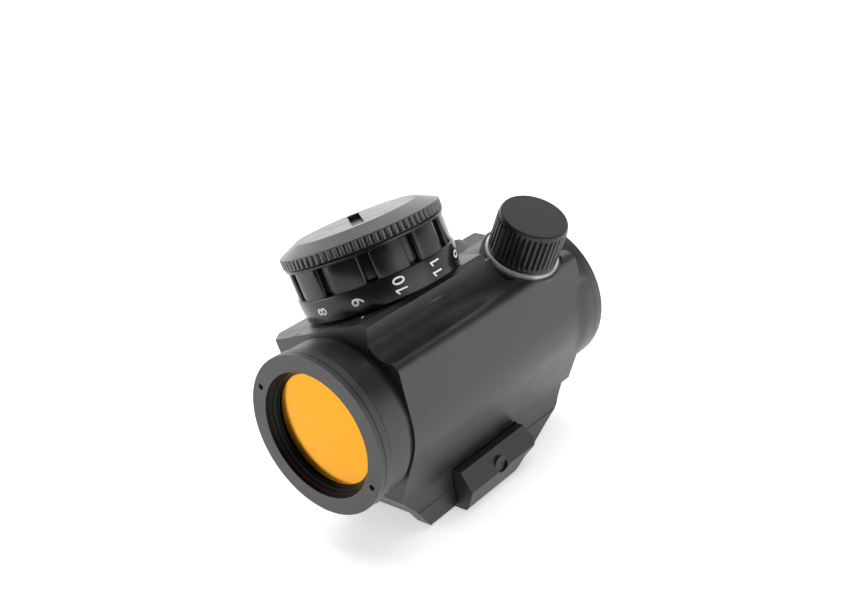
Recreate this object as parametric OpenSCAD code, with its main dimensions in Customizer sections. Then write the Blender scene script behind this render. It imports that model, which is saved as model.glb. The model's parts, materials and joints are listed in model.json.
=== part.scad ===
// Compact 1x red dot finder with a rheostat dial, two capped adjusters and an 11 mm rail clamp.
// +Z is up, the sight line runs along Y with the objective at -Y, and +X is the user's left.
// The origin is the middle of the rail seat, straight under the sight line.

/* [Sight tube] */
// Height of the sight line above the rail seat
axis_h = 21; // [20:0.5:23]
// Distance of the objective face in front of the seat centre
front_len = 31; // [30:0.5:33]
// Distance of the eyepiece face behind the seat centre
rear_len = 33; // [32:0.5:36]
// Outer radius of the front ring
bezel_r = 14.75; // [14.5:0.05:15]
// Radius of the round main body
body_r = 14.2; // [14:0.05:14.4]
// Radius of the bore through the body
bore_r = 12.9; // [12.8:0.05:13]

/* [Rheostat dial] */
// Distance of the dial axis behind the objective face
dial_back = 26; // [25:0.5:27]
// Lean of the dial to the user's right, in degrees
dial_cant = 20; // [15:1:24]
// Radius of the numbered ring
dial_r = 14.8; // [14.6:0.05:15]
// Number of click positions
dial_clicks = 12; // [12:12:24]

/* [Adjusters] */
// Distance of both adjusters behind the objective face
adjuster_back = 51; // [50:0.5:52]
// Angle of each adjuster from the dial, in degrees
adjuster_spread = 45; // [44:1:46]
// Radius of the knurled caps
cap_r = 6.6; // [6.4:0.05:6.8]

/* [Rail clamp] */
// Width of the dovetail rail across its top
rail_w = 11; // [10.8:0.1:11.2]
// Depth of the rail groove in the base
groove_depth = 2.6; // [2.4:0.1:2.8]
// Half of the width of the base
base_half = 9; // [8.8:0.1:9.2]
// Radius of the clamp screw
screw_r = 1.5; // [1.4:0.05:1.55]

/* [Hidden] */
$fn = 96;

front_y = -front_len;
rear_y = rear_len;
dial_y = front_y + dial_back;
adjuster_y = front_y + adjuster_back;
left_angle = adjuster_spread - dial_cant;
right_angle = -adjuster_spread - dial_cant;
fit = 0.05;                      // running clearance on a radius
eps = 0.01;

// Lengths along the tube, from the objective face backwards
bezel_len = 2.5;
gasket_t = 0.25;
collar_end = 7.2;
panel_start = 8.8;
panel_end = 59.5;
ring_len = 2.2;
flare = 4.4;                     // length over which the body widens to the rear ring
rear_r = 14.85;
housing_front = front_y + bezel_len + gasket_t;
housing_rear = rear_y - ring_len;
rear_reach = housing_rear - front_y - panel_end + flare;

// Heights along the dial axis, from the sight line
deck_h = 15;
spigot_h = 18.6;
skirt_h = 15.5;
board_h = 15.6;
clip_h = 16.6;
clip_groove = 0.9;
number_h = 19.75;
floor_h = 19;
floor_top = 20.2;
flange_h = 24.9;
dial_top = 25.4;
rim_low = 25.5;
rim_top = 27.5;
cap_top = 29.1;
spigot_r = 11.6;
cell_r = 10;
plug_r = 12.15;
detent_r = 13.1;

// Distances along an adjuster axis, from the sight line
seat_d = 15.2;
boss_r = 7.6;
seal_t = 0.7;
cap_foot = seat_d + seal_t + fit;
small_cap_top = 24.25;
tube_r = 11.4;                   // outside of the tilting inner tube
gimbal_y = -20;
tube_front = -22.5;
tube_len = 46;

// Rail clamp
groove_half = rail_w / 2;
flank_run = groove_depth / tan(60);
hook_low = -groove_depth - 0.6;
screw_z = 1.9;
screw_y = 0.75;
pocket_x = 6;                    // inner wall of the jaw pocket
groove_end = pocket_x + 0.05;    // left side of the groove, ahead of the jaw and behind it
jaw_front = -8.5;
guide_r = 1;                     // guide pins of the jaw
pin_x = 1;
pin_y = [-5.2, 6.2];
pin_z = 3;

// ---------- frames ----------
module along_y(y) translate([0, y, axis_h]) rotate([-90, 0, 0]) children();
module at_dial() translate([0, dial_y, axis_h]) rotate([0, -dial_cant, 0]) children();
module at_adjuster(a) translate([0, adjuster_y, axis_h]) rotate([0, a, 0]) children();
module at_screw(x) translate([x, screw_y, screw_z]) rotate([0, 90, 0]) children();

module tube(h, ro, ri) difference() {
  cylinder(h = h, r = ro);
  translate([0, 0, -eps]) cylinder(h = h + 2 * eps, r = ri);
}
module ring_cord(r, wire) rotate_extrude() translate([r, 0]) circle(r = wire, $fn = 24);

// A round wire wound as an open coil, standing on z = 0
module coil(r, wire, height, turns) {
  steps = 14 * turns;
  sides = 8;
  rise = height - 2 * wire;
  points = [for (i = [0:steps], j = [0:sides - 1])
    let (a = 360 * turns * i / steps, b = 360 * j / sides, q = r + wire * cos(b))
    [q * cos(a), q * sin(a), wire + rise * i / steps + wire * sin(b)]];
  sides_faces = [for (i = [0:steps - 1], j = [0:sides - 1])
    let (k = (j + 1) % sides)
    [i * sides + j, i * sides + k, (i + 1) * sides + k, (i + 1) * sides + j]];
  first = [[for (j = [sides - 1:-1:0]) j]];
  last = [[for (j = [0:sides - 1]) steps * sides + j]];
  polyhedron(points = points, faces = concat(sides_faces, first, last));
}

// ---------- housing ----------
shoulder_x = 10.9;
shoulder_z = 10.2;
shoulder_r = 1.8;
crease_z = 15.5;
cove_x = 10.4;
cove_z = 16.6;
cove_r = 4.6;

// Points along an arc about the centre c, from angle a0 to a1
function arc(c, r, a0, a1, n) = [for (i = [0:n]) let (a = a0 + (a1 - a0) * i / n) c + r * [cos(a), sin(a)]];

// Where the flat flank leaves the base crease and meets the round body, and where the body meets the shoulder
flank_angle = atan2(-crease_z, base_half) + acos(body_r / norm([base_half, crease_z]));
side_angle = atan2(shoulder_z, shoulder_x) - acos((body_r - shoulder_r) / norm([shoulder_x, shoulder_z]));
top_angle = asin((shoulder_z + shoulder_r) / body_r);
half_section = concat([[base_half, -crease_z]], arc([0, 0], body_r, flank_angle, side_angle, 10),
  arc([shoulder_x, shoulder_z], shoulder_r, side_angle, 90, 8), arc([0, 0], body_r, top_angle, 90, 10));

// Cross-section of the body, drawn about the sight line
module body_section() polygon(concat(half_section,
  [for (i = [len(half_section) - 2:-1:0]) [-half_section[i][0], half_section[i][1]]]));
// Hollow sweep between the left shoulder and the dial deck
module cove_section() polygon(concat([[-2, 13.5], [0, 10], [cove_x, 10]],
  arc([cove_x, cove_z], cove_r, -90, -175, 10)));
module along_body(y0, y1)
  translate([0, y1, axis_h]) rotate([90, 0, 0]) linear_extrude(y1 - y0) children();

// Deck that carries the dial, square to the dial axis
deck_far = -16.6;
deck_near = 12.5;
deck_front = -17.35;
module dial_deck() intersection() {
  at_dial() rotate([90, 0, 0]) translate([0, 0, -30]) linear_extrude(60)
    polygon([[0, 2], [deck_near - 2.7, 9], [deck_near, deck_h - 0.8], [deck_near - 0.8, deck_h],
      [deck_far + 0.9, deck_h], [deck_far, deck_h - 0.9], [deck_far, deck_h - 3.8], [-12.6, 3]]);
  at_dial() linear_extrude(deck_h + 1) union() {
    circle(r = -deck_far);
    polygon([[-11.8, deck_front], [deck_near, deck_front], [deck_near, 14], [4, 16.6], [0, 0],
      [deck_far, 0], [deck_far, -12.4]]);
  }
}
// Side view of the rail base
module base_profile() polygon([[-22.2, 6.5], [-22.2, 5.5], [-19, 1.9], [-16, -groove_depth],
  [15.4, -groove_depth], [19.5, -0.4], [23.7, 1.7], [24.9, 3.9], [26.1, 5.5], [26.1, 6.5]]);
module base_block() intersection() {
  translate([-20, 0, 0]) rotate([90, 0, 90]) linear_extrude(40) base_profile();
  translate([0, 30, 0]) rotate([90, 0, 0]) linear_extrude(60)
    polygon([[-base_half, 6.5], [-base_half, 1.5], [-base_half - 0.15, 1.3],
      [-base_half - 0.15, -3], [base_half + 0.15, -3], [base_half + 0.15, 1.3], [base_half, 1.5],
      [base_half, 6.5]]);
}
// Fixed hook on the right of the rail
module fixed_hook() translate([0, 13, 0]) rotate([90, 0, 0]) linear_extrude(27)
  polygon([[-base_half + 0.05, 0.5], [0, 0.5], [0, hook_low], [-base_half + 0.6, hook_low],
    [-base_half + 0.05, hook_low + 0.5]]);
module rail_groove() translate([0, -axis_h]) polygon([[-groove_half, 0], [groove_end, 0], [groove_end, -6],
  [-groove_half + flank_run, -6], [-groove_half + flank_run, -groove_depth]]);
// Side view of the jaw, grown by a gap for its pocket
module jaw_profile(gap) polygon([[jaw_front - gap, 4.6 + gap], [jaw_front - gap, hook_low - gap],
  [5 + gap, hook_low - gap], [6.6 + gap, -2 - gap], [7.9 + gap, -0.3 - gap], [10.2 + gap, 0.7 - gap],
  [11.2 + gap, 2.2], [10.4 + gap, 4.6 + gap]]);
module adjuster_boss(a) at_adjuster(a) translate([0, 0, 6]) cylinder(h = seat_d - 6, r = boss_r);

module main_housing() color([0.09, 0.09, 0.1]) difference() {
  union() {
    along_y(housing_front) cylinder(h = collar_end - bezel_len - gasket_t, r = 14.5);
    along_y(front_y + collar_end - 1) cylinder(h = panel_start - collar_end + 2, r = 13.7);
    along_body(front_y + panel_start, front_y + panel_end) body_section();
    along_body(front_y + panel_start, adjuster_y - 8) cove_section();
    along_y(front_y + panel_end - flare) rotate_extrude() polygon([[0, 0], [13.9, 0], [rear_r, flare],
      [rear_r, rear_reach], [0, rear_reach]]);
    dial_deck();
    at_dial() translate([0, 0, deck_h - 3]) cylinder(h = spigot_h - deck_h + 3, r = spigot_r);
    adjuster_boss(left_angle);
    adjuster_boss(right_angle);
    base_block();
    fixed_hook();
  }
  // Flat seats of the dial and of the two adjusters
  at_dial() translate([0, 0, deck_h]) tube(5, 17, spigot_r);
  for (a = [left_angle, right_angle]) at_adjuster(a) translate([0, 0, seat_d])
    cylinder(h = 5, r = boss_r + 0.15);
  // Sight bore and the wider seat for the rear window
  along_y(front_y) cylinder(h = front_len + rear_len, r = bore_r);
  along_y(window_seat) cylinder(h = 10, r = 13.25);
  // Switch chamber inside the spigot, with a ledge for the board
  at_dial() translate([0, 0, 8]) cylinder(h = 12, r = 8.6);
  at_dial() translate([0, 0, board_h]) cylinder(h = 6, r = 9.75);
  // Groove for the dial clip
  at_dial() translate([0, 0, clip_h]) tube(clip_groove, spigot_r + 1, 11.15);
  // Detent bore
  at_dial() translate([-detent_r, 0, 10.5]) cylinder(h = 6, r = 0.9);
  // Threaded seats of the adjuster bushes
  for (a = [left_angle, right_angle]) at_adjuster(a) translate([0, 0, 8]) cylinder(h = 9, r = 3.6);
  // Spring pocket under the inner tube
  translate([0, adjuster_y, axis_h]) rotate([0, 180 - dial_cant, 0])
    translate([0, 0, 8]) cylinder(h = 6.6, r = 2.6);
  // Rail groove, with the fixed dovetail flank on its right
  along_body(-60, 60) rail_groove();
  // Jaw pocket
  translate([pocket_x, 0, 0]) rotate([90, 0, 90]) linear_extrude(10) jaw_profile(0.25);
  translate([5.7, jaw_front - 0.25, -6]) cube([10, 13.6, 6]);
  // Bores for the clamp screw, guide pins and jaw springs
  at_screw(-12) cylinder(h = 24, r = screw_r + fit);
  for (y = pin_y) translate([pin_x, y, pin_z]) rotate([0, 90, 0]) {
    cylinder(h = 8, r = guide_r);
    translate([0, 0, 2.6]) cylinder(h = 6, r = 1.85);
  }
  // Pin holes of the gimbal
  along_y(gimbal_y) gimbal_bore(left_angle, 13.85);
}

// ---------- front optics ----------
module front_bezel() color([0.08, 0.08, 0.09]) along_y(front_y) difference() {
  union() {
    cylinder(h = bezel_len, r = bezel_r);
    cylinder(h = 6.4, r = bore_r - 0.02);
  }
  // Tapered mouth, lens seat and retainer thread
  translate([0, 0, -eps]) cylinder(h = 2.02, r1 = 11.7, r2 = 10.4);
  cylinder(h = 7, r = 10.4);
  translate([0, 0, 2.2]) cylinder(h = 6, r = 11.4);
  // Two holes for a pin spanner
  for (a = [0, 180]) rotate([0, 0, a + 28]) translate([13.2, 0, -eps]) cylinder(h = 1.2, r = 0.55, $fn = 32);
}
module bezel_gasket() color([0.03, 0.03, 0.03]) along_y(front_y + bezel_len) tube(gasket_t, 14.3, 13);
module objective_lens() color([0.95, 0.6, 0.2]) along_y(front_y + 2.2) cylinder(h = 2, r = 11.35);
module lens_seal() color([0.03, 0.03, 0.03]) along_y(front_y + 4.5) ring_cord(11, 0.3);
module lens_retainer() color([0.1, 0.1, 0.1]) along_y(front_y + 4.8) tube(1.2, 11.35, 10.2);

// ---------- rear optics ----------
window_seat = 27.5;
window_end = 29.7;
module rear_window() color([0.8, 0.85, 0.9]) along_y(window_seat + 0.6) cylinder(h = 1.6, r = 13.15);
module rear_seal() color([0.03, 0.03, 0.03]) along_y(window_seat + 0.3) ring_cord(12.92, 0.3);
module rear_window_ring() color([0.08, 0.08, 0.09]) along_y(window_end) difference() {
  union() {
    cylinder(h = 1.2, r = 13.2);
    translate([0, 0, housing_rear - window_end + 0.1]) cylinder(h = ring_len - 0.1, r = rear_r);
  }
  translate([0, 0, -eps]) cylinder(h = 5, r = 11.6);
  translate([0, 0, 2.2]) cylinder(h = 1.2, r1 = 11.6, r2 = 12.8);
}

// ---------- tilting inner tube ----------
pin_r = 0.58;
module gimbal_bore(a, reach) rotate([0, 0, a]) rotate([0, 90, 0])
  cylinder(h = 2 * reach, r = pin_r + 0.04, center = true, $fn = 32);
// A pair of pins on one line across the sight line
module pin_pair(a, r0, r1) for (s = [0, 180]) rotate([0, 0, a + s]) rotate([0, 90, 0])
  translate([0, 0, r0]) cylinder(h = r1 - r0, r = pin_r, $fn = 32);
module gimbal_ring() color("silver") along_y(gimbal_y) difference() {
  translate([0, 0, -1.4]) tube(2.8, 12.75, 11.65);
  gimbal_bore(left_angle, 14);
  gimbal_bore(right_angle, 14);
}
module gimbal_pins() color("gray") along_y(gimbal_y) pin_pair(left_angle, 11.8, 13.8);
module tube_pins() color("gray") along_y(gimbal_y) pin_pair(right_angle, 10.75, 12.65);
module inner_tube() color([0.12, 0.12, 0.12]) along_y(tube_front) difference() {
  cylinder(h = tube_len, r = tube_r);
  translate([0, 0, -eps]) cylinder(h = tube_len + 1, r = 10.7);
  translate([0, 0, gimbal_y - tube_front]) gimbal_bore(right_angle, 12);
}
module led_holder() color([0.1, 0.1, 0.1]) translate([0, 20, axis_h]) rotate([0, 160, 0]) difference() {
  intersection() {
    translate([-1.6, -2, 7.4]) cube([3.2, 3.4, 4]);
    rotate([90, 0, 0]) cylinder(h = 10, r = 10.68, center = true);
  }
  translate([0, -3, 8.6]) rotate([-90, 0, 0]) cylinder(h = 2, r = 0.75, $fn = 32);
}
module led_emitter() color([0.8, 0.1, 0.1]) translate([0, 20, axis_h]) rotate([0, 160, 0])
  translate([0, -2.3, 8.6]) rotate([-90, 0, 0]) cylinder(h = 1.2, r = 0.73, $fn = 32);
module bias_spring() color("silver") translate([0, adjuster_y, axis_h]) rotate([0, 180 - dial_cant, 0])
  translate([0, 0, 12.2]) coil(1.9, 0.25, 2.2, 3);

// ---------- rheostat dial ----------
module dial_base_ring() color([0.02, 0.02, 0.02]) at_dial()
  translate([0, 0, deck_h]) tube(0.4, 12.2, spigot_r + 0.02);
// Grip lobes round the dial, with the angle of the gap beside its foremost lobe
lobes = 11;
lobe_gap = 1.9;
lobe_floor = 13.3;
first_gap = -78.5;
module rheostat_dial() color([0.06, 0.06, 0.07]) at_dial() difference() {
  union() {
    translate([0, 0, skirt_h]) cylinder(h = number_h - skirt_h, r1 = dial_r - 0.4, r2 = dial_r);
    difference() {
      translate([0, 0, number_h - eps]) cylinder(h = flange_h - number_h + 2 * eps, r = dial_r - 0.3);
      for (i = [0:lobes - 1]) rotate([0, 0, first_gap + i * 360 / lobes])
        translate([lobe_floor, -lobe_gap / 2, number_h]) cube([4, lobe_gap, flange_h - number_h]);
    }
    translate([0, 0, flange_h]) cylinder(h = dial_top - flange_h, r = dial_r);
  }
  // Underside: spigot socket, clip groove and detent track
  translate([0, 0, skirt_h - eps]) cylinder(h = floor_h - skirt_h + eps, r = spigot_r + fit);
  translate([0, 0, skirt_h - eps]) tube(0.45, 12.3, spigot_r);
  translate([0, 0, clip_h]) tube(clip_groove, 12.15, spigot_r - 1);
  translate([0, 0, skirt_h - eps]) tube(0.35, detent_r + 0.7, detent_r - 0.7);
  for (i = [0:dial_clicks - 1]) rotate([0, 0, i * 360 / dial_clicks])
    translate([detent_r, 0, skirt_h]) cylinder(h = 0.6, r = 0.45, $fn = 24);
  // Battery well and cap thread
  translate([0, 0, floor_top]) cylinder(h = 8, r = cell_r + 0.3);
  translate([0, 0, 22.6]) cylinder(h = 8, r = plug_r + fit);
  translate([0, 0, flange_h]) tube(1, 13.25, plug_r - 0.1);
  // Contact hole
  translate([0, 0, floor_h - 1]) cylinder(h = 3, r = 1.2, $fn = 32);
}
module dial_clip() color("silver") at_dial() translate([0, 0, clip_h + 0.2]) difference() {
  tube(0.5, 12.05, 11.25);
  translate([10, -0.8, -1]) cube([4, 1.6, 3]);
}
module switch_board() color([0.05, 0.3, 0.12]) at_dial() translate([0, 0, board_h]) difference() {
  cylinder(h = 0.8, r = 9.7);
  translate([0, 0, -eps]) cylinder(h = 1, r = 1.5, $fn = 32);
}
module board_screws() color("silver") at_dial() for (a = [45, 225]) rotate([0, 0, a])
  translate([9.1, 0, board_h + 0.8]) {
    difference() {
      cylinder(h = 0.7, r = 0.6, $fn = 32);
      translate([-1, -0.12, 0.4]) cube([2, 0.24, 1]);
    }
  }
module switch_wiper() color("gold") at_dial() {
  translate([0, 0, 18.6]) cylinder(h = 0.4, r = 3.4);
  for (a = [0, 120, 240]) rotate([0, 0, a]) rotate([90, 0, 0]) translate([0, 0, -0.7]) linear_extrude(1.4)
    polygon([[3, 18.6], [3, 18.9], [7.4, 17], [8, 17], [8, 16.75], [7.2, 16.75]]);
}
module battery_contact() color("gold") at_dial() translate([0, 0, floor_top]) {
  cylinder(h = 0.3, r = 4);
  translate([0, 0, 0.2]) tube(0.5, 2.4, 1.6);
}
module battery_cell() color("silver") at_dial() translate([0, 0, 21]) {
  cylinder(h = 0.35, r = 8.8);
  translate([0, 0, 0.3]) cylinder(h = 2.9, r = cell_r);
}
slot_len = 19;
slot_w = 2.2;
slot_depth = 1.1;
slot_turn = -40;
module battery_cap_seal() color([0.03, 0.03, 0.03]) at_dial() translate([0, 0, 25.22]) ring_cord(12.85, 0.25);
module battery_cap() color([0.2, 0.2, 0.19]) at_dial() difference() {
  union() {
    translate([0, 0, rim_low]) cylinder(h = rim_top - rim_low, r = 15);
    translate([0, 0, rim_top - eps]) cylinder(h = cap_top - rim_top + eps, r1 = 14.9, r2 = 11.4);
    translate([0, 0, 22.9]) tube(rim_low - 22.9 + 0.5, plug_r, cell_r + 0.45);
  }
  translate([0, 0, 22]) cylinder(h = 2.4, r = cell_r + 0.4);
  // Coin slot across the top
  rotate([0, 0, slot_turn]) translate([-slot_len / 2, -slot_w / 2, cap_top - slot_depth])
    cube([slot_len, slot_w, 3]);
}
module detent_ball() color("silver") at_dial() translate([-detent_r, 0, 14.95]) sphere(r = 0.8, $fn = 32);
module detent_spring() color("silver") at_dial() translate([-detent_r, 0, 10.55]) coil(0.6, 0.13, 3.1, 5);

// ---------- adjusters ----------
module adjuster_bush() color([0.7, 0.6, 0.3]) difference() {
  union() {
    translate([0, 0, 12.95]) cylinder(h = 3, r = 3.58);
    translate([0, 0, seat_d]) cylinder(h = 4.3, r = 4.9);
  }
  translate([0, 0, 12]) cylinder(h = 9, r = 2 + fit);
  translate([0, 0, 12]) cylinder(h = 1.9, r = 2.9);
}
module adjuster_screw() color([0.75, 0.75, 0.75]) difference() {
  union() {
    translate([0, 0, 19.55]) cylinder(h = 1.5, r = 3.9);
    translate([0, 0, 13.3]) cylinder(h = 6.6, r = 2);
    translate([0, 0, 13.2]) cylinder(h = 0.67, r = 2.7);
  }
  translate([0, 0, 12]) cylinder(h = 7, r = 1 + 0.04);
  translate([-5, -0.4, 20.4]) cube([10, 0.8, 2]);
}
module plunger() color([0.8, 0.8, 0.8]) {
  translate([0, 0, tube_r + 0.04 + 0.5]) cylinder(h = 4.9, r = 1);
  intersection() {
    translate([0, 0, tube_r + 0.04 + 1.3]) sphere(r = 1.3, $fn = 48);
    translate([0, 0, tube_r]) cylinder(h = 0.9, r = 1);
  }
}
module cap_seal() color([0.85, 0.85, 0.85]) translate([0, 0, seat_d]) tube(seal_t, cap_r + 0.35, 5.1);
module adjuster_cap() color([0.05, 0.05, 0.05]) difference() {
  union() {
    translate([0, 0, cap_foot]) cylinder(h = 7.4, r = cap_r);
    translate([0, 0, cap_foot + 7.4])
      cylinder(h = small_cap_top - cap_foot - 7.4, r1 = cap_r, r2 = cap_r - 0.5);
  }
  translate([0, 0, seat_d]) cylinder(h = 6.6, r = 4.9 + fit);
}
module left_adjuster_bush() at_adjuster(left_angle) adjuster_bush();
module left_adjuster_screw() at_adjuster(left_angle) adjuster_screw();
module left_plunger() at_adjuster(left_angle) plunger();
module left_cap_seal() at_adjuster(left_angle) cap_seal();
module left_adjuster_cap() at_adjuster(left_angle) adjuster_cap();
module right_adjuster_bush() at_adjuster(right_angle) adjuster_bush();
module right_adjuster_screw() at_adjuster(right_angle) adjuster_screw();
module right_plunger() at_adjuster(right_angle) plunger();
module right_cap_seal() at_adjuster(right_angle) cap_seal();
module right_adjuster_cap() at_adjuster(right_angle) adjuster_cap();

// ---------- rail clamp ----------
module clamp_jaw() color([0.08, 0.08, 0.09]) difference() {
  intersection() {
    rotate([90, 0, 90]) linear_extrude(20) jaw_profile(0);
    translate([0, 20, 0]) rotate([90, 0, 0]) linear_extrude(40)
      polygon([[6.4, 4.6], [10.9, 4.6], [11.2, 4.1], [13.2, 1.1], [11.75, -2.6], [11.2, hook_low],
        [groove_half - flank_run + 0.05, hook_low], [groove_half - flank_run + 0.05, -groove_depth],
        [groove_half + 0.05, -0.05], [6.4, -0.05]]);
  }
  at_screw(5) cylinder(h = 12, r = screw_r + 0.03);
  at_screw(4.9) cylinder(h = 1.55, r = 2.7);
  for (y = pin_y) translate([pocket_x, y, pin_z]) rotate([0, 90, 0]) cylinder(h = 4.4, r = guide_r + 0.04);
}
module clamp_screw() color([0.3, 0.3, 0.3]) at_screw(-12.9) difference() {
  union() {
    cylinder(h = 3.2, r = 3.3);
    cylinder(h = 25.45, r = screw_r);
  }
  // Hexagon socket
  translate([0, 0, -eps]) cylinder(h = 1.9, r = 1.45, $fn = 6);
  translate([0, 0, 18.97]) tube(0.38, screw_r + 1, 1.15);
}
module screw_washer() color("silver") at_screw(-9.65) tube(0.45, 3.4, screw_r + 0.08);
module screw_clip() color("silver") at_screw(6.08) difference() {
  tube(0.3, 2.5, 1.18);
  translate([0.4, -0.6, -1]) cube([4, 1.2, 3]);
}
module guide_pins() color("silver") for (y = pin_y) translate([pin_x, y, pin_z]) rotate([0, 90, 0])
  cylinder(h = 9, r = guide_r);
module jaw_springs() color("silver") for (y = pin_y) translate([3.65, y, pin_z]) rotate([0, 90, 0])
  coil(1.45, 0.22, 2.7, 3);

main_housing();
front_bezel();
bezel_gasket();
objective_lens();
lens_seal();
lens_retainer();
rear_window();
rear_seal();
rear_window_ring();
gimbal_ring();
gimbal_pins();
tube_pins();
inner_tube();
led_holder();
led_emitter();
bias_spring();
dial_base_ring();
rheostat_dial();
dial_clip();
switch_board();
board_screws();
switch_wiper();
battery_contact();
battery_cell();
battery_cap_seal();
battery_cap();
detent_ball();
detent_spring();
left_adjuster_bush();
left_adjuster_screw();
left_plunger();
left_cap_seal();
left_adjuster_cap();
right_adjuster_bush();
right_adjuster_screw();
right_plunger();
right_cap_seal();
right_adjuster_cap();
clamp_jaw();
clamp_screw();
screw_washer();
screw_clip();
guide_pins();
jaw_springs();
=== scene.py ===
"""The red dot finder's looks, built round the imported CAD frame.

Lengths are in metres unless a name says mm.
"""

import json
import math

import bmesh
import bpy
from mathutils import Euler, Matrix, Quaternion, Vector

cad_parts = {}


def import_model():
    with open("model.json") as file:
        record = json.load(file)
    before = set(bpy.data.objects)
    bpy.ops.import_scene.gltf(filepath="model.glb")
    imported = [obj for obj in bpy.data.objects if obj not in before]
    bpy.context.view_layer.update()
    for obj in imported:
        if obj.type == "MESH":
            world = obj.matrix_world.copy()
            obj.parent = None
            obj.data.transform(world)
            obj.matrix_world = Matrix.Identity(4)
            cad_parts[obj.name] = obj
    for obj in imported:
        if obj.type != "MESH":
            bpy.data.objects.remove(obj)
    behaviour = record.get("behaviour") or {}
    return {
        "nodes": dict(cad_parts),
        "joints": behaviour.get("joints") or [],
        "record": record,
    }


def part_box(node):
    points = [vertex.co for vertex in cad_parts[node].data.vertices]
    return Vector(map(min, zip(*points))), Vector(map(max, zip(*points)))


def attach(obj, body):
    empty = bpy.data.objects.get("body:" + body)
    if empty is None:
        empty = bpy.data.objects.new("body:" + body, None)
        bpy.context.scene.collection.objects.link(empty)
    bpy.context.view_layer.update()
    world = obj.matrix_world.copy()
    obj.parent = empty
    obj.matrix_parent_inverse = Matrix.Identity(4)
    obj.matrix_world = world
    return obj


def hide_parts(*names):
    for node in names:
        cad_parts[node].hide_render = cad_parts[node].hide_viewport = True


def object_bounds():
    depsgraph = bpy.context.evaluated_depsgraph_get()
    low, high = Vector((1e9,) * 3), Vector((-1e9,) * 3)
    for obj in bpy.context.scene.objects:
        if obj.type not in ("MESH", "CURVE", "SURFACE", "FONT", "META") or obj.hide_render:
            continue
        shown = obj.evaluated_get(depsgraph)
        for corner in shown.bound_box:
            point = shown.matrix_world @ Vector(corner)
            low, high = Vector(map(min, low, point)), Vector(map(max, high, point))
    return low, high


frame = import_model()
cad_low, cad_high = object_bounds()
NODES = frame["nodes"]
MM = 0.001
TAU = 2 * math.pi


# ---------- places, read from the frame ----------
def joint(name):
    return next(j for j in frame["joints"] if j["name"] == name)


def placed(joint_name):
    """Matrix of a frame that stands on the sight line with its z along that joint's axis."""
    j = joint(joint_name)
    z = Vector(j["axis"]).normalized()
    x = Vector((0, 1, 0)).cross(z).normalized()
    y = z.cross(x)
    m = Matrix((x, y, z)).transposed().to_4x4()
    m.translation = Vector(j["pos_m"])
    return m


DIAL = placed("battery_cap_turn")
LEFT = placed("left_cap_turn")
RIGHT = placed("right_cap_turn")
SIGHT = Matrix.Translation((0, 0, joint("dial_turn")["pos_m"][2])) @ Matrix.Rotation(math.radians(90), 4, "X")
JAW = Matrix.Translation(joint("clamp_turn")["pos_m"]) @ Matrix.Rotation(math.radians(90), 4, "Y")


# ---------- materials ----------
def add(tree, kind, settings=None, **inputs):
    """Adds a node. settings are its properties. inputs are values or links for its sockets, each given by
    the socket's name, or as i and its number."""
    n = tree.nodes.new(kind)
    for key, value in (settings or {}).items():
        setattr(n, key, value)
    for key, value in inputs.items():
        socket = n.inputs[int(key[1:])] if key[0] == "i" and key[1:].isdigit() else n.inputs[key.replace("_",
                                                                                                         " ")]
        if isinstance(value, bpy.types.NodeSocket):
            tree.links.new(value, socket)
        else:
            socket.default_value = value
    return n


def rgb(value, tint=(1, 1, 1)):
    return (value * tint[0], value * tint[1], value * tint[2], 1)


def coordinates(tree, place):
    """The piece's own coordinates, or those of the frame that the matrix place gives, in metres."""
    out = add(tree, "ShaderNodeTexCoord").outputs["Object"]
    if place is None:
        return out
    return add(
        tree, "ShaderNodeMapping", {"vector_type": "TEXTURE"},
        Vector=out, Location=place.translation[:], Rotation=place.to_euler()[:],
    ).outputs["Vector"]


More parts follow.
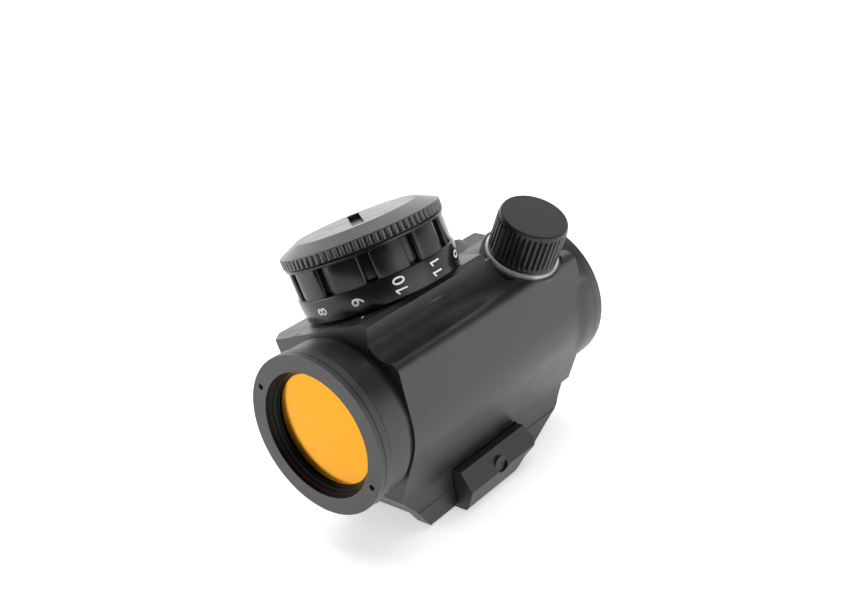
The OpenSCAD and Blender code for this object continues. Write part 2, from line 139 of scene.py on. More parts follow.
def finish(name, dark, light, rough, metallic=0.0, grain_mm=0.12, grain=0.25, patch_mm=5.0,
           turned_mm=0.0, turned=0.2, place=None, wear=0.0, specular=0.5, coat=0.0, coat_rough=0.2):
    """A worked surface: colour drifts between dark and light, with fine grain, turning marks and
    rubbed edges."""
    mat = bpy.data.materials.new(name)
    mat.use_nodes = True
    tree = mat.node_tree
    bsdf = tree.nodes["Principled BSDF"]
    where = coordinates(tree, place)
    drift = add(tree, "ShaderNodeTexNoise", Vector=where, Scale=1 / (patch_mm * MM), Detail=3.0,
                Roughness=0.55)
    fine = add(tree, "ShaderNodeTexNoise", Vector=where, Scale=1 / (grain_mm * MM), Detail=2.0, Roughness=0.6)
    both = add(tree, "ShaderNodeMath", {"operation": "MULTIPLY_ADD"}, i0=fine.outputs[0], i1=0.35,
               i2=drift.outputs[0])
    share = add(tree, "ShaderNodeMapRange", i0=both.outputs[0], i1=0.45, i2=0.9, i3=0.0, i4=1.0)
    colour = add(tree, "ShaderNodeMix", {"data_type": "RGBA"}, i0=share.outputs[0], i6=dark,
                 i7=light).outputs[2]
    if wear:
        soft = add(tree, "ShaderNodeBevel", {"samples": 4}, Radius=0.25 * MM)
        true = add(tree, "ShaderNodeNewGeometry").outputs["Normal"]
        facing = add(tree, "ShaderNodeVectorMath", {"operation": "DOT_PRODUCT"}, i0=soft.outputs[0], i1=true)
        edge = add(tree, "ShaderNodeMapRange", i0=facing.outputs["Value"], i1=0.99, i2=0.85, i3=0.0, i4=wear)
        rubbed = add(tree, "ShaderNodeMath", {"operation": "MULTIPLY"}, i0=edge.outputs[0],
                     i1=share.outputs[0])
        pale = tuple(min(1.0, 2.6 * c + 0.05) for c in light[:3]) + (1,)
        colour = add(tree, "ShaderNodeMix", {"data_type": "RGBA"}, i0=rubbed.outputs[0], i6=colour,
                     i7=pale).outputs[2]
    tree.links.new(colour, bsdf.inputs["Base Color"])
    spread = add(tree, "ShaderNodeMapRange", i0=both.outputs[0], i1=0.4, i2=0.95, i3=rough - 0.06,
                 i4=rough + 0.07)
    tree.links.new(spread.outputs[0], bsdf.inputs["Roughness"])
    bump = add(tree, "ShaderNodeBump", Strength=grain, Distance=0.02 * MM, Height=fine.outputs[0])
    if turned_mm:
        wobble = add(tree, "ShaderNodeTexNoise", Vector=where, Scale=1 / (0.6 * MM), Detail=1.0)
        rings = add(tree, "ShaderNodeTexWave", {"wave_type": "RINGS", "rings_direction": "Z"}, Vector=where,
                    Scale=TAU / (20 * turned_mm * MM), Distortion=0.6, Detail=1.0)
        height = add(tree, "ShaderNodeMath", {"operation": "MULTIPLY"}, i0=rings.outputs["Fac"],
                     i1=wobble.outputs[0])
        bump = add(tree, "ShaderNodeBump", Strength=turned, Distance=0.01 * MM, Height=height.outputs[0],
                   Normal=bump.outputs[0])
    tree.links.new(bump.outputs[0], bsdf.inputs["Normal"])
    bsdf.inputs["Metallic"].default_value = metallic
    bsdf.inputs["Specular IOR Level"].default_value = specular
    bsdf.inputs["Coat Weight"].default_value = coat
    bsdf.inputs["Coat Roughness"].default_value = coat_rough
    return mat


def lens_coating(name):
    """Amber mirror coating with a painted reflection: a colour ramp from one side of the glass to the other
    paints the shift in the coating's reflected colour across it.
    """
    mat = bpy.data.materials.new(name)
    mat.use_nodes = True
    tree = mat.node_tree
    bsdf = tree.nodes["Principled BSDF"]
    where = coordinates(tree, SIGHT)
    parts = add(tree, "ShaderNodeSeparateXYZ", Vector=where)
    # Painted reflection: the ramp across the glass paints the coating's reflected colour, shifting from
    # red-peach to golden.
    across = add(tree, "ShaderNodeMath", {"operation": "MULTIPLY_ADD"}, i0=parts.outputs[0], i1=28.0, i2=0.5)
    slope = add(tree, "ShaderNodeMath", {"operation": "MULTIPLY_ADD"},
                i0=parts.outputs[1], i1=48.0, i2=across.outputs[0])
    film = add(tree, "ShaderNodeTexNoise", Vector=where, Scale=90.0, Detail=2.0)
    share = add(tree, "ShaderNodeMath", {"operation": "MULTIPLY_ADD"}, i0=film.outputs[0], i1=0.12,
                i2=slope.outputs[0])
    ramp = add(tree, "ShaderNodeValToRGB", Fac=share.outputs[0])
    ramp.color_ramp.elements[0].position = 0.05
    ramp.color_ramp.elements[0].color = (0.68, 0.20, 0.055, 1)
    ramp.color_ramp.elements[1].position = 0.68
    ramp.color_ramp.elements[1].color = (0.68, 0.29, 0.006, 1)
    middle = ramp.color_ramp.elements.new(0.34)
    middle.color = (0.68, 0.27, 0.105, 1)
    tree.links.new(ramp.outputs[0], bsdf.inputs["Base Color"])
    haze = add(tree, "ShaderNodeMapRange", i0=film.outputs[0], i3=0.10, i4=0.2)
    tree.links.new(haze.outputs[0], bsdf.inputs["Roughness"])
    bsdf.inputs["Metallic"].default_value = 1.0
    bsdf.inputs["Coat Weight"].default_value = 0.15
    bsdf.inputs["Coat Roughness"].default_value = 0.02
    return mat


def clear_glass(name):
    """Rear window: clear, with a faint cool coating and a breath of dust."""
    mat = bpy.data.materials.new(name)
    mat.use_nodes = True
    tree = mat.node_tree
    bsdf = tree.nodes["Principled BSDF"]
    where = coordinates(tree, None)
    dust = add(tree, "ShaderNodeTexNoise", Vector=where, Scale=1 / (0.8 * MM), Detail=4.0)
    tint = add(tree, "ShaderNodeMapRange", i0=dust.outputs[0], i1=0.3, i2=0.8, i3=0.0, i4=1.0)
    colour = add(tree, "ShaderNodeMix", {"data_type": "RGBA"},
                 i0=tint.outputs[0], i6=(0.80, 0.88, 0.95, 1), i7=(0.90, 0.93, 0.97, 1))
    tree.links.new(colour.outputs[2], bsdf.inputs["Base Color"])
    rough = add(tree, "ShaderNodeMapRange", i0=dust.outputs[0], i1=0.5, i2=0.8, i3=0.0, i4=0.06)
    tree.links.new(rough.outputs[0], bsdf.inputs["Roughness"])
    bsdf.inputs["Transmission Weight"].default_value = 1.0
    bsdf.inputs["IOR"].default_value = 1.45
    bsdf.inputs["Coat Weight"].default_value = 0.4
    return mat


def darken(mat, place, zones):
    """Paints zones of a turned look with a colour and little shine. On the bezel these zones are painted
    shade and painted reflections. Each zone is a range of radius and of height along the place's z, in mm."""
    tree = mat.node_tree
    bsdf = tree.nodes["Principled BSDF"]
    parts = add(tree, "ShaderNodeSeparateXYZ", Vector=coordinates(tree, place))
    flat = add(tree, "ShaderNodeCombineXYZ", X=parts.outputs["X"], Y=parts.outputs["Y"])
    radius = add(tree, "ShaderNodeVectorMath", {"operation": "LENGTH"}, i0=flat.outputs[0]).outputs["Value"]
    colour = bsdf.inputs["Base Color"].links[0].from_socket
    shine = bsdf.inputs["Specular IOR Level"].default_value
    for radii, heights, shade in zones:
        mask = None
        for value, (low, high) in ((radius, radii), (parts.outputs["Z"], heights)):
            for kind, edge in (("GREATER_THAN", low), ("LESS_THAN", high)):
                test = add(tree, "ShaderNodeMath", {"operation": kind}, i0=value, i1=edge * MM).outputs[0]
                mask = test if mask is None else add(
                    tree, "ShaderNodeMath", {"operation": "MULTIPLY"}, i0=mask, i1=test).outputs[0]
        colour = add(tree, "ShaderNodeMix", {"data_type": "RGBA"}, i0=mask, i6=colour, i7=shade).outputs[2]
        shine = add(tree, "ShaderNodeMix", i0=mask, i2=shine, i3=0.1).outputs[0]
    tree.links.new(colour, bsdf.inputs["Base Color"])
    tree.links.new(shine, bsdf.inputs["Specular IOR Level"])
    return mat


COOL = (1.0, 1.0, 1.06)
OLIVE = (1.0, 1.0, 0.95)
BODY = finish("body_anodised", rgb(0.010, COOL), rgb(0.017, COOL), 0.40, wear=0.4, grain_mm=0.10, grain=0.3,
              specular=0.7)
RING = finish("turned_anodised", rgb(0.010), rgb(0.018), 0.38, wear=0.4, turned_mm=0.14, place=SIGHT,
              specular=0.8)
# The bezel's anodising is painted about three times paler than the other turned rings'. It is a lit copy of
# the same finish that stands in for light on its front face, and the zones below paint shade, reflections and
# a groove line on it.
BEZEL_PAINTED_LIGHT = finish("bezel_anodised_painted_light", rgb(0.034), rgb(0.048), 0.40, wear=0.4, turned_mm=0.14, place=SIGHT,
               specular=0.4)
darken(BEZEL_PAINTED_LIGHT, SIGHT, [
    # Painted shade: the inside of the mouth, within the aperture, is painted near black.
    ((0, 11.66), (20, 40), rgb(0.003)),
    # Painted reflections: a thin green ring and a thin dark red ring inside the mouth.
    ((10.72, 10.86), (20, 40), (0.010, 0.030, 0.022, 1)),
    ((11.1, 11.3), (20, 40), (0.030, 0.006, 0.008, 1)),
    # Painted shade: a thin black line round the bezel stands for the shade in a fine groove between the face
    # ring and the band.
    ((14.6, 16), (29.9, 30.06), rgb(0.003)),
])
DIAL_BLACK = finish("dial_anodised", rgb(0.004), rgb(0.008), 0.22, wear=0.2, turned_mm=0.16, grain=0.12,
                    specular=0.45)
CAP_TOP = finish("cap_anodised", rgb(0.016, OLIVE), rgb(0.026, OLIVE), 0.30, wear=0.25, turned_mm=0.18,
                 grain=0.15,
                 specular=0.9)
darken(CAP_TOP, None, [((0, 10.2), (27.9, 28.9), rgb(0.035))])
CAP_SIDE = finish("fluted_anodised", rgb(0.008), rgb(0.014), 0.34, wear=0.3, turned_mm=0.15, grain=0.15,
                  specular=0.45)
FLAT_BLACK = finish("inside_black", rgb(0.006), rgb(0.012), 0.75, turned_mm=0.3, turned=0.5, place=SIGHT)
RUBBER = finish("seal_rubber", rgb(0.008), rgb(0.018), 0.62, grain_mm=0.2, grain=0.4, specular=0.35)
BRIGHT = finish("bright_washer", rgb(0.82), rgb(0.92), 0.30, metallic=0.5, turned_mm=0.08, grain=0.1)
STEEL = finish("plain_steel", rgb(0.42), rgb(0.60), 0.28, metallic=1.0, grain_mm=0.2, grain=0.15)
CELL = finish("cell_steel", rgb(0.52), rgb(0.66), 0.33, metallic=1.0, turned_mm=0.25, grain=0.15)
BRASS = finish("brass", (0.55, 0.36, 0.12, 1), (0.72, 0.50, 0.20, 1), 0.30, metallic=1.0, grain=0.15)
BOARD = finish("board_mask", (0.01, 0.07, 0.03, 1), (0.015, 0.11, 0.045, 1), 0.35, coat=0.5, grain=0.2)
LED = finish("led_epoxy", (0.40, 0.01, 0.01, 1), (0.60, 0.03, 0.02, 1), 0.15, coat=0.8, coat_rough=0.05)
OXIDE = finish("black_oxide", rgb(0.025), rgb(0.05), 0.38, metallic=0.4, wear=0.5, turned_mm=0.1, place=JAW)
PAINT = finish("number_paint", rgb(0.70), rgb(0.85), 0.55, grain_mm=0.08, grain=0.3)
AMBER = lens_coating("amber_coating_painted_reflection")
GLASS = clear_glass("window_glass")

SLOT_LOOKS = {
    "body_black": BODY, "ring_black": RING, "dial_black": DIAL_BLACK, "cap_black": CAP_SIDE,
    "tube_black": FLAT_BLACK,
    "seal_rubber": RUBBER, "pale_seal": BRIGHT, "amber_lens": AMBER, "clear_lens": GLASS, "steel": STEEL,
    "cell_steel": CELL, "contact_brass": BRASS, "board_green": BOARD, "led_red": LED, "screw_black": OXIDE,
}


def dress_cad_nodes():
    """Gives each CAD node the look of its material slot, and rounds the edges of the big machined pieces."""
    slots = {s["node"]: s["material_slot"] for s in frame["record"]["subparts"]}
    for name, node in NODES.items():
        node.data.materials.clear()
        node.data.materials.append(BEZEL_PAINTED_LIGHT if name == "front_bezel" else SLOT_LOOKS[slots[name]])
    for name, width_mm in (("main_housing", 0.22), ("front_bezel", 0.15), ("rear_window_ring", 0.2),
                           ("clamp_jaw", 0.2), ("clamp_screw", 0.15)):
        soften(NODES[name], width_mm * MM)


def soften(node, width):
    """Rounds a node's sharp edges with modifiers, which leave its own mesh as it is."""
    weld = node.modifiers.new("weld", "WELD")
    weld.merge_threshold = 0.002 * MM
    flat = node.modifiers.new("flat", "DECIMATE")
    flat.decimate_type = "DISSOLVE"
    flat.angle_limit = math.radians(0.5)
    bevel = node.modifiers.new("bevel", "BEVEL")
    bevel.width = width
    bevel.segments = 2
    bevel.limit_method = "ANGLE"
    bevel.angle_limit = math.radians(32)
    bevel.use_clamp_overlap = True
    shading = node.modifiers.new("smooth by angle", "NODES")
    shading.node_group = SMOOTHING
    weighted = node.modifiers.new("weighted normals", "WEIGHTED_NORMAL")
    weighted.keep_sharp = True


def smoothing_nodes(angle_deg):
    """Geometry nodes that shade a mesh smooth, apart from edges sharper than the angle."""
    group = bpy.data.node_groups.new("smooth by angle", "GeometryNodeTree")
    group.interface.new_socket("Geometry", in_out="INPUT", socket_type="NodeSocketGeometry")
    group.interface.new_socket("Geometry", in_out="OUTPUT", socket_type="NodeSocketGeometry")
    start = add(group, "NodeGroupInput")
    faces = add(group, "GeometryNodeSetShadeSmooth", {"domain": "FACE"}, Geometry=start.outputs[0],
                Shade_Smooth=True)
    angle = add(group, "GeometryNodeInputMeshEdgeAngle")
    sharp = add(group, "FunctionNodeCompare", {"operation": "GREATER_THAN", "data_type": "FLOAT"},
                i0=angle.outputs[0], i1=math.radians(angle_deg))
    edges = add(group, "GeometryNodeSetShadeSmooth", {"domain": "EDGE"}, Geometry=faces.outputs[0],
                Selection=sharp.outputs[0], Shade_Smooth=False)
    add(group, "NodeGroupOutput", i0=edges.outputs[0])
    return group


SMOOTHING = smoothing_nodes(35)


# ---------- turned pieces ----------
def turned(name, rows, angles, shape, material, place, body, slot, stands_for, loop=False):
    """A turned solid. rows are (radius, height, depth of cut) in mm up its axis, and shape(angle) is the
    share of that cut at an angle. A row of radius 0 is a pole, and loop joins the last row to the
    first."""
    bm = bmesh.new()
    rings = []
    for radius, height, cut in rows:
        if radius == 0:
            rings.append([bm.verts.new((0, 0, height * MM))])
            continue
        rings.append([
            bm.verts.new(((radius - cut * shape(a)) * math.cos(a) * MM,
                          (radius - cut * shape(a)) * math.sin(a) * MM, height * MM))
            for a in angles
        ])
    pairs = list(zip(rings, rings[1:] + rings[:1])) if loop else list(zip(rings, rings[1:]))
    n = len(angles)
    for low, high in pairs:
        for i in range(n):
            k = (i + 1) % n
            if len(low) == 1:
                bm.faces.new((low[0], high[k], high[i]))
            elif len(high) == 1:
                bm.faces.new((low[i], low[k], high[0]))
            else:
                bm.faces.new((low[i], low[k], high[k], high[i]))
    bmesh.ops.recalc_face_normals(bm, faces=bm.faces)
    mesh = bpy.data.meshes.new(name)
    bm.to_mesh(mesh)
    bm.free()
    piece = bpy.data.objects.new(name, mesh)
    bpy.context.scene.collection.objects.link(piece)
    piece.matrix_world = place
    mesh.materials.append(material)
    smooth(piece, 32)
    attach(piece, body)
    if stands_for:
        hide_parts(stands_for)
    return piece


def smooth(piece, angle_deg):
    """Smooth shading, kept sharp where faces meet at more than the angle."""
    mesh = piece.data
    mesh.shade_smooth()
    bm = bmesh.new()
    bm.from_mesh(mesh)
    for edge in bm.edges:
        edge.smooth = len(edge.link_faces) == 2 and edge.calc_face_angle(0) < math.radians(angle_deg)
    bm.to_mesh(mesh)
    bm.free()


def even(count):
    return [TAU * i / count for i in range(count)]


def plain(angle):
    return 0.0


def cut_out(piece, low, high, turn_deg):
    """Cuts a box, given by its corners in mm and turned about the piece's axis, out of the piece."""
    bm = bmesh.new()
    bmesh.ops.create_cube(bm, size=1)
    middle = (Vector(low) + Vector(high)) / 2
    size = Vector(high) - Vector(low)
    for v in bm.verts:
        v.co = Vector((v.co.x * size.x, v.co.y * size.y, v.co.z * size.z)) + middle
        v.co = Matrix.Rotation(math.radians(turn_deg), 3, "Z") @ v.co * MM
    mesh = bpy.data.meshes.new("cutter")
    bm.to_mesh(mesh)
    bm.free()
    cutter = bpy.data.objects.new("cutter", mesh)
    bpy.context.scene.collection.objects.link(cutter)
    cutter.matrix_world = piece.matrix_world
    boolean = piece.modifiers.new("cut", "BOOLEAN")
    boolean.object = cutter
    boolean.operation = "DIFFERENCE"
    boolean.solver = "EXACT"
    bpy.context.view_layer.update()
    made = bpy.data.meshes.new_from_object(piece.evaluated_get(bpy.context.evaluated_depsgraph_get()))
    piece.modifiers.remove(boolean)
    piece.data = made
    bpy.data.objects.remove(cutter)
    smooth(piece, 32)


# Heights along the dial axis from the sight line, and radii, in mm
RIM_R = 15.0
RIM_LOW, RIM_TOP, CAP_TOP_H = 25.5, 27.5, 29.1
FLAT_R = 11.4
RIM_TEETH = 76
SLOT_AZIMUTH = 50.0              # from the front towards the user's left, as all azimuths here


def azimuth(degrees):
    """Angle about the dial's z of an azimuth that is counted from the front towards the user's left."""
    return math.radians(degrees - 90)


def battery_cap():
    """Knurled rim, cone and flat top with its coin slot."""
    def knurl(a):
        t = (a * RIM_TEETH / TAU) % 1
        return 1 - min(1.0, abs(2 * t - 1) * 1.7)
    rows = [
        (0, 24.4, 0), (10.4, 24.4, 0), (10.4, 22.9, 0), (11.9, 22.9, 0), (12.1, 23.1, 0), (12.1, RIM_LOW, 0),
        (14.5, RIM_LOW, 0), (RIM_R - 0.15, RIM_LOW + 0.06, 0), (RIM_R, RIM_LOW + 0.2, 0),
        (RIM_R, RIM_LOW + 0.27, 0.42),
        (RIM_R, RIM_TOP - 0.25, 0.42), (RIM_R, RIM_TOP - 0.12, 0.15), (RIM_R - 0.1, RIM_TOP, 0),
        (RIM_R - 0.22, RIM_TOP + 0.055, 0), (RIM_R - 0.5, RIM_TOP + 0.184, 0),
        (FLAT_R + 0.4, CAP_TOP_H - 0.18, 0), (FLAT_R + 0.15, CAP_TOP_H - 0.06, 0),
        (FLAT_R, CAP_TOP_H - 0.01, 0),
        (FLAT_R - 0.2, CAP_TOP_H, 0), (FLAT_R - 0.4, CAP_TOP_H, 0), (0, CAP_TOP_H, 0),
    ]
    piece = turned("battery_cap_knurled", rows, even(RIM_TEETH * 8), knurl, CAP_TOP, DIAL, "battery_cap",
                   "cap_black", "battery_cap")
    cut_out(piece, (-9.5, -1.1, CAP_TOP_H - 1.0), (9.5, 1.1, CAP_TOP_H + 1), SLOT_AZIMUTH - 90)
    return piece


LOBES = 11
LOBE_START = 11.5                # azimuth of the first gap between lobes
GAP_HALF = math.radians(3.7)
GAP_DEPTH = 1.2


def lobe_section():
    """Angles round the dial and the share of the gap's depth at each, dense at the gaps' rounded edges."""
    pitch = TAU / LOBES
    near_gap = [(-1.9, 0.0), (-1.45, 0.04), (-1.18, 0.14), (-1.0, 0.35), (-0.93, 0.9), (-0.8, 1.0)]
    samples = []
    for i in range(LOBES):
        middle = azimuth(LOBE_START) + i * pitch
        samples += [(middle + GAP_HALF * t, cut) for t, cut in near_gap]
        samples += [(middle + GAP_HALF * t, cut) for t, cut in ((-0.3, 1.0), (0.3, 1.0))]
        samples += [(middle - GAP_HALF * t, cut) for t, cut in reversed(near_gap)]
        start, end = GAP_HALF * 1.9, pitch - GAP_HALF * 1.9
        samples += [(middle + start + (end - start) * k / 8, 0.0) for k in range(1, 8)]
    return samples


def rheostat_dial():
    """Numbered skirt, raised grip lobes and top flange."""
    section = lobe_section()
    share = dict(section)
    rows = [
        (11.65, 15.5, 0), (14.25, 15.5, 0), (14.4, 15.6, 0), (14.78, 19.55, 0), (14.72, 19.7, 0),
        (14.5, 19.72, 0),
        (14.42, 19.8, 0), (14.42, 19.82, GAP_DEPTH), (14.45, 19.95, GAP_DEPTH), (14.45, 24.6, GAP_DEPTH),
        (14.4, 24.75, GAP_DEPTH), (14.4, 24.8, 0), (14.72, 24.88, 0), (14.8, 24.96, 0), (14.8, 25.3, 0),
        (14.72, 25.4, 0),
        (13.25, 25.4, 0), (13.25, 24.9, 0), (12.2, 24.9, 0), (12.2, 22.6, 0), (10.3, 22.6, 0),
        (10.3, 20.2, 0),
        (1.2, 20.2, 0), (1.2, 19.0, 0), (11.65, 19.0, 0),
    ]
    return turned("dial_lobed", rows, [a for a, _ in section], lambda a: share[a], DIAL_BLACK, DIAL,
                  "rheostat",
                  "dial_black", "rheostat_dial", loop=True)


SKIRT_LOW_H, SKIRT_LOW_R = 15.6, 14.4
SKIRT_TOP_H, SKIRT_TOP_R = 19.55, 14.78
NUMBER_SIZE = 3.0
DIGIT_PITCH = 0.60               # share of the size from one digit to the next
ONE = ((0.03, -0.36), (0.13, -0.36), (0.13, 0.36), (0.05, 0.36), (-0.15, 0.22), (-0.15, 0.12), (0.03, 0.23))
NUMBER_MIDDLE = 17.55


def skirt_radius(height):
    share = (height - SKIRT_LOW_H) / (SKIRT_TOP_H - SKIRT_LOW_H)
    return SKIRT_LOW_R + share * (SKIRT_TOP_R - SKIRT_LOW_R)


def digit_shape(digit):
    """Flat bmesh of one digit about its own middle, in mm. The one has a flag on its stem."""
    part = bmesh.new()
    if digit == "1":
        part.faces.new([part.verts.new((x * NUMBER_SIZE, y * NUMBER_SIZE, 0)) for x, y in ONE])
        return part
    curve = bpy.data.curves.new("digit", "FONT")
    curve.body = digit
    curve.size = NUMBER_SIZE
    curve.align_x = "CENTER"
    curve.align_y = "CENTER"
    curve.resolution_u = 6
    curve.offset = 0.03
    letter = bpy.data.objects.new("digit", curve)
    bpy.context.scene.collection.objects.link(letter)
    bpy.context.view_layer.update()
    part.from_mesh(bpy.data.meshes.new_from_object(letter))
    bpy.data.objects.remove(letter)
    low, high = (pick(v.co.y for v in part.verts) for pick in (min, max))
    for v in part.verts:
        v.co.y -= (low + high) / 2
    return part


def wrapped_digit(digit, along, middle_azimuth, bm):
    """Adds a digit to bm as thin paint on the skirt. along is its place on the way up the skirt, in mm."""
    part = digit_shape(digit)
    for v in part.verts:
        v.co.x += along
    part.normal_update()
    bmesh.ops.triangulate(part, faces=part.faces)
    bmesh.ops.subdivide_edges(part, edges=part.edges, cuts=1)
    bmesh.ops.triangulate(part, faces=part.faces)
    solid = bmesh.ops.extrude_face_region(part, geom=part.faces[:])
    top = [g for g in solid["geom"] if isinstance(g, bmesh.types.BMVert)]
    for v in top:
        v.co.z = 1.0
    for v in part.verts:
        height = NUMBER_MIDDLE + v.co.x
        radius = skirt_radius(height) - 0.03 + 0.055 * v.co.z
        angle = azimuth(middle_azimuth) - v.co.y / SKIRT_LOW_R
        v.co = Vector((radius * math.cos(angle), radius * math.sin(angle), height)) * MM
    joined = bpy.data.meshes.new("number")
    part.to_mesh(joined)
    part.free()
    bm.from_mesh(joined)


def dial_numbers():
    """White click numbers 0 to 11 round the skirt."""
    bm = bmesh.new()
    for number in range(12):
        digits = str(number)
        for i, digit in enumerate(digits):
            along = (i - (len(digits) - 1) / 2) * DIGIT_PITCH * NUMBER_SIZE
            wrapped_digit(digit, along, (number - 8) * 30, bm)
    bmesh.ops.recalc_face_normals(bm, faces=bm.faces)
    return painted("dial_numbers", bm, DIAL, "rheostat")


def painted(name, bm, place, body):
    mesh = bpy.data.meshes.new(name)
    bm.to_mesh(mesh)
    bm.free()
    mesh.materials.append(PAINT)
    piece = bpy.data.objects.new(name, mesh)
    bpy.context.scene.collection.objects.link(piece)
    piece.matrix_world = place
    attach(piece, body)
    return piece


DECK_H = 15.0
INDEX_AZIMUTH = 30.0


def index_mark():
    """White line on the deck beside the dial, which the numbers are read against."""
    bm = bmesh.new()
    bmesh.ops.create_cube(bm, size=1)
    for v in bm.verts:
        v.co = Vector((15.3 + v.co.x * 0.9, v.co.y * 0.3, DECK_H + 0.01 + v.co.z * 0.04))
        v.co = Matrix.Rotation(azimuth(INDEX_AZIMUTH), 3, "Z") @ v.co * MM
    return painted("index_mark", bm, DIAL, "housing")


FLUTES = 40
CAP_BASE, CAP_TOP_D, CAP_R = 15.95, 24.25, 6.6


def adjuster_cap(name, place, body, stands_for):
    """Screw cap with fluted sides between a plain foot and a plain crown."""
    def flute(a):
        t = (a * FLUTES / TAU) % 1
        return max(0.0, math.cos(TAU * (t - 0.5)) * 0.75 + 0.25)
    rows = [
        (0, 21.8, 0), (4.95, 21.8, 0), (4.95, CAP_BASE, 0), (CAP_R - 0.12, CAP_BASE, 0),
        (CAP_R, CAP_BASE + 0.1, 0),
        (CAP_R, CAP_BASE + 0.75, 0), (CAP_R, CAP_BASE + 0.9, 0.12), (CAP_R, CAP_BASE + 1.1, 0.42),
        (CAP_R, CAP_TOP_D - 1.45, 0.42), (CAP_R - 0.02, CAP_TOP_D - 1.1, 0.3),
        (CAP_R - 0.08, CAP_TOP_D - 0.85, 0.1),
        (CAP_R - 0.12, CAP_TOP_D - 0.72, 0), (CAP_R - 0.22, CAP_TOP_D - 0.3, 0),
        (CAP_R - 0.34, CAP_TOP_D - 0.08, 0),
        (CAP_R - 0.5, CAP_TOP_D, 0), (CAP_R - 0.7, CAP_TOP_D, 0), (0, CAP_TOP_D, 0),
    ]
    return turned(name, rows, even(FLUTES * 10), flute, CAP_SIDE, place, body, "cap_black", stands_for)


LENS_LOW, LENS_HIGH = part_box("objective_lens")


def coated_lens():
    """Objective: a gently bowed disc with a bevelled rim."""
    front = LENS_LOW.y / -MM
    back = LENS_HIGH.y / -MM
    bow = 0.18
    lens_r = 11.3
    face = [(lens_r * k / 10, front - bow * (k / 10) ** 2) for k in range(0, 10)]
    rows = [(r, h, 0) for r, h in face]
    rows += [(lens_r - 0.3, front - bow, 0), (lens_r, front - bow - 0.25, 0), (lens_r, back + 0.1, 0),
             (lens_r - 0.1, back, 0), (0, back, 0)]
    return turned("lens_bowed", rows, even(128), plain, AMBER, SIGHT, "housing", "amber_lens",
                  "objective_lens")



# ---------- room, light and camera ----------
FLOOR_GLOW = 0.5                 # the floor is a light table, so that shadows stay pale


def stage_material(name, value):
    mat = bpy.data.materials.new(name)
    mat.use_nodes = True
    tree = mat.node_tree
    bsdf = tree.nodes["Principled BSDF"]
    where = coordinates(tree, None)
    cloud = add(tree, "ShaderNodeTexNoise", Vector=where, Scale=2.0)
    mix = add(tree, "ShaderNodeMix", {"data_type": "RGBA"}, i0=cloud.outputs[0], i6=rgb(value),
              i7=rgb(value + 0.02))
    tree.links.new(mix.outputs[2], bsdf.inputs["Base Color"])
    bsdf.inputs["Roughness"].default_value = 0.9
    bsdf.inputs["Emission Color"].default_value = (1, 1, 1, 1)
    bsdf.inputs["Emission Strength"].default_value = FLOOR_GLOW
    return mat


def floor():
    """Pale floor that curves up into a backdrop behind the object, as seen from the camera."""
    side = 1.4
    near, far, rise, height = -1.6, 0.55, 0.35, 1.6
    outline = [(near, 0.0), (far, 0.0)]
    outline += [(far + rise * math.sin(a), rise * (1 - math.cos(a)))
                for a in (math.radians(90 * k / 12) for k in range(1, 13))]
    outline.append((far + rise, height))
    away = Vector((-math.sin(math.radians(CAMERA_AZIMUTH)), math.cos(math.radians(CAMERA_AZIMUTH)), 0))
    across = Vector((away.y, -away.x, 0))
    bm = bmesh.new()
    rows = [[bm.verts.new(away * d + across * s + Vector((0, 0, cad_low.z - 0.02 * MM + h))) for s in (-side,
                                                                                                       side)]
            for d, h in outline]
    for a, b in zip(rows, rows[1:]):
        bm.faces.new((a[0], a[1], b[1], b[0]))
    bmesh.ops.recalc_face_normals(bm, faces=bm.faces)
    mesh = bpy.data.meshes.new("floor")
    bm.to_mesh(mesh)
    bm.free()
    mesh.shade_smooth()
    mesh.materials.append(stage_material("floor_white", 0.86))
    piece = bpy.data.objects.new("floor", mesh)
    bpy.context.scene.collection.objects.link(piece)


def softbox(name, azimuth_deg, elevation_deg, distance, size, watts, mirrored=True):
    """Area light aimed at the object, mirrored in it or not. Azimuth is counted from -Y towards +X."""
    a, e = math.radians(azimuth_deg), math.radians(elevation_deg)
    out = Vector((math.sin(a) * math.cos(e), -math.cos(a) * math.cos(e), math.sin(e)))
    light = bpy.data.lights.new(name, "AREA")
    light.shape = "RECTANGLE"
    light.size, light.size_y = size
    light.energy = watts
    lamp = bpy.data.objects.new(name, light)
    bpy.context.scene.collection.objects.link(lamp)
    centre = Vector((0, 0, 0.02))
    lamp.location = centre + out * distance
    lamp.rotation_mode = "QUATERNION"
    lamp.rotation_quaternion = (-out).to_track_quat("-Z", "Y")
    lamp.visible_glossy = mirrored


# Sines of the elevations where the white walls begin to darken and where the ceiling is darkest
WALL_TOP, CEILING = 0.16, 0.46
DARK_WALL_AZIMUTH = 25


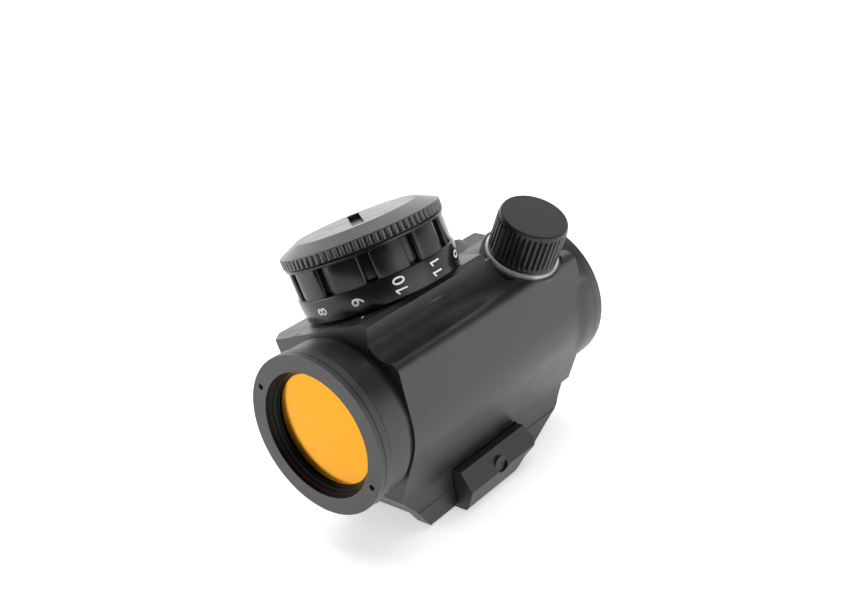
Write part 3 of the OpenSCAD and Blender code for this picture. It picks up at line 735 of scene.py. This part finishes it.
def world(low_level, high_level):
    """White walls round a studio, dark above and behind the camera."""
    w = bpy.data.worlds.new("studio")
    bpy.context.scene.world = w
    w.use_nodes = True
    tree = w.node_tree
    where = add(tree, "ShaderNodeTexCoord").outputs["Generated"]
    height = add(tree, "ShaderNodeSeparateXYZ", Vector=where).outputs["Z"]
    level = add(tree, "ShaderNodeMapRange", {"interpolation_type": "SMOOTHSTEP"}, i0=height,
                i1=WALL_TOP, i2=CEILING, i3=low_level, i4=high_level)
    angle = math.radians(DARK_WALL_AZIMUTH)
    towards = add(tree, "ShaderNodeVectorMath", {"operation": "DOT_PRODUCT"}, i0=where,
                  i1=(math.sin(angle), -math.cos(angle), 0)).outputs["Value"]
    open_side = add(tree, "ShaderNodeMapRange", {"interpolation_type": "SMOOTHSTEP"}, i0=towards,
                    i1=0.62, i2=0.82, i3=1.0, i4=0.06)
    both = add(tree, "ShaderNodeMath", {"operation": "MULTIPLY"}, i0=level.outputs[0],
               i1=open_side.outputs[0])
    tree.links.new(both.outputs[0], tree.nodes["Background"].inputs["Strength"])
    tree.nodes["Background"].inputs["Color"].default_value = (1, 1, 1, 1)


CAMERA_AT_MM = (135.7, -146.3, 123.6)
CAMERA_TARGET_MM = (-2.7, 4.0, 30.4)
CAMERA_ROLL = -6.95              # degrees, the object's up leans left in the frame
CAMERA_AZIMUTH = 42.6
LENS_MM = 51.5


def camera():
    data = bpy.data.cameras.new("camera")
    data.sensor_width = 36
    data.lens = LENS_MM
    data.clip_start, data.clip_end = 0.01, 20
    cam = bpy.data.objects.new("camera", data)
    bpy.context.scene.collection.objects.link(cam)
    at, target = Vector(CAMERA_AT_MM) * MM, Vector(CAMERA_TARGET_MM) * MM
    cam.location = at
    cam.rotation_mode = "QUATERNION"
    look = (target - at).to_track_quat("-Z", "Y")
    cam.rotation_quaternion = look @ Quaternion((0, 0, 1), math.radians(CAMERA_ROLL))
    bpy.context.scene.camera = cam


def plain_colours():
    """Shows colours as they are, because the default view transform washes out the black."""
    bpy.context.scene.view_settings.view_transform = "Standard"


dress_cad_nodes()
battery_cap()
rheostat_dial()
dial_numbers()
index_mark()
adjuster_cap("left_cap_fluted", LEFT, "left_cap", "left_adjuster_cap")
adjuster_cap("right_cap_fluted", RIGHT, "right_cap", "right_adjuster_cap")
coated_lens()
camera()
floor()
world(1.2, 0.05)
softbox("right_box", 97, 18, 0.7, (0.5, 0.6), 1.0)
softbox("left_box", -50, 8, 0.7, (0.5, 0.5), 3.0)
softbox("floor_light", 200, 80, 1.0, (1.2, 1.2), 11, mirrored=False)
plain_colours()
